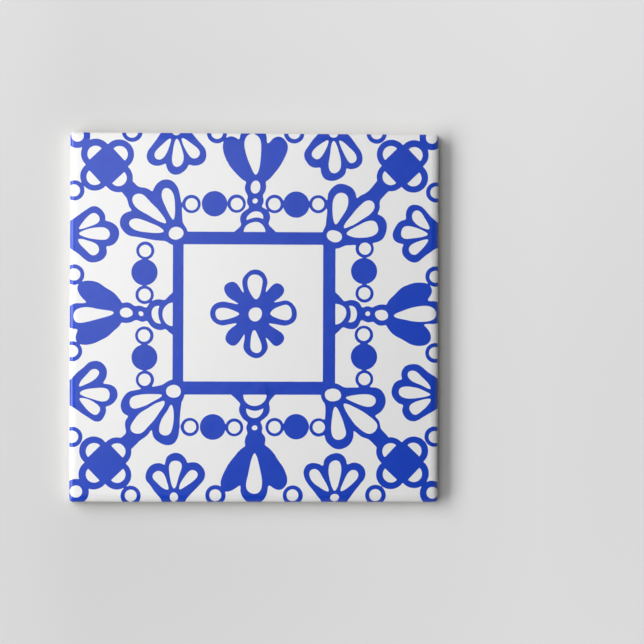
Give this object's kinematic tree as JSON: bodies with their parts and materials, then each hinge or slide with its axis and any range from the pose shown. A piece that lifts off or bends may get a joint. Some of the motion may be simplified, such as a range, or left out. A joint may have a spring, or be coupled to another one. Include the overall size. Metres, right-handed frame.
{
  "type": "decorative ceramic tile",
  "caption": "Square glazed ceramic tile with a softly rounded face edge, a blue traditional ornament on white and a keyed back for bedding in adhesive.",
  "frame": {"origin": "centre of the back, on the plane of the rim and ribs that the tile rests on", "axes": "+Z out of the glazed face, +Y towards the top edge of the print, +X to its right"},
  "size_m": [0.1524, 0.1524, 0.0064],
  "materials": {
    "white_glaze": "satin",
    "cobalt_print": "satin"
  },
  "bodies": {
    "root": {"tile": "white_glaze"}
  },
  "joints": []
}
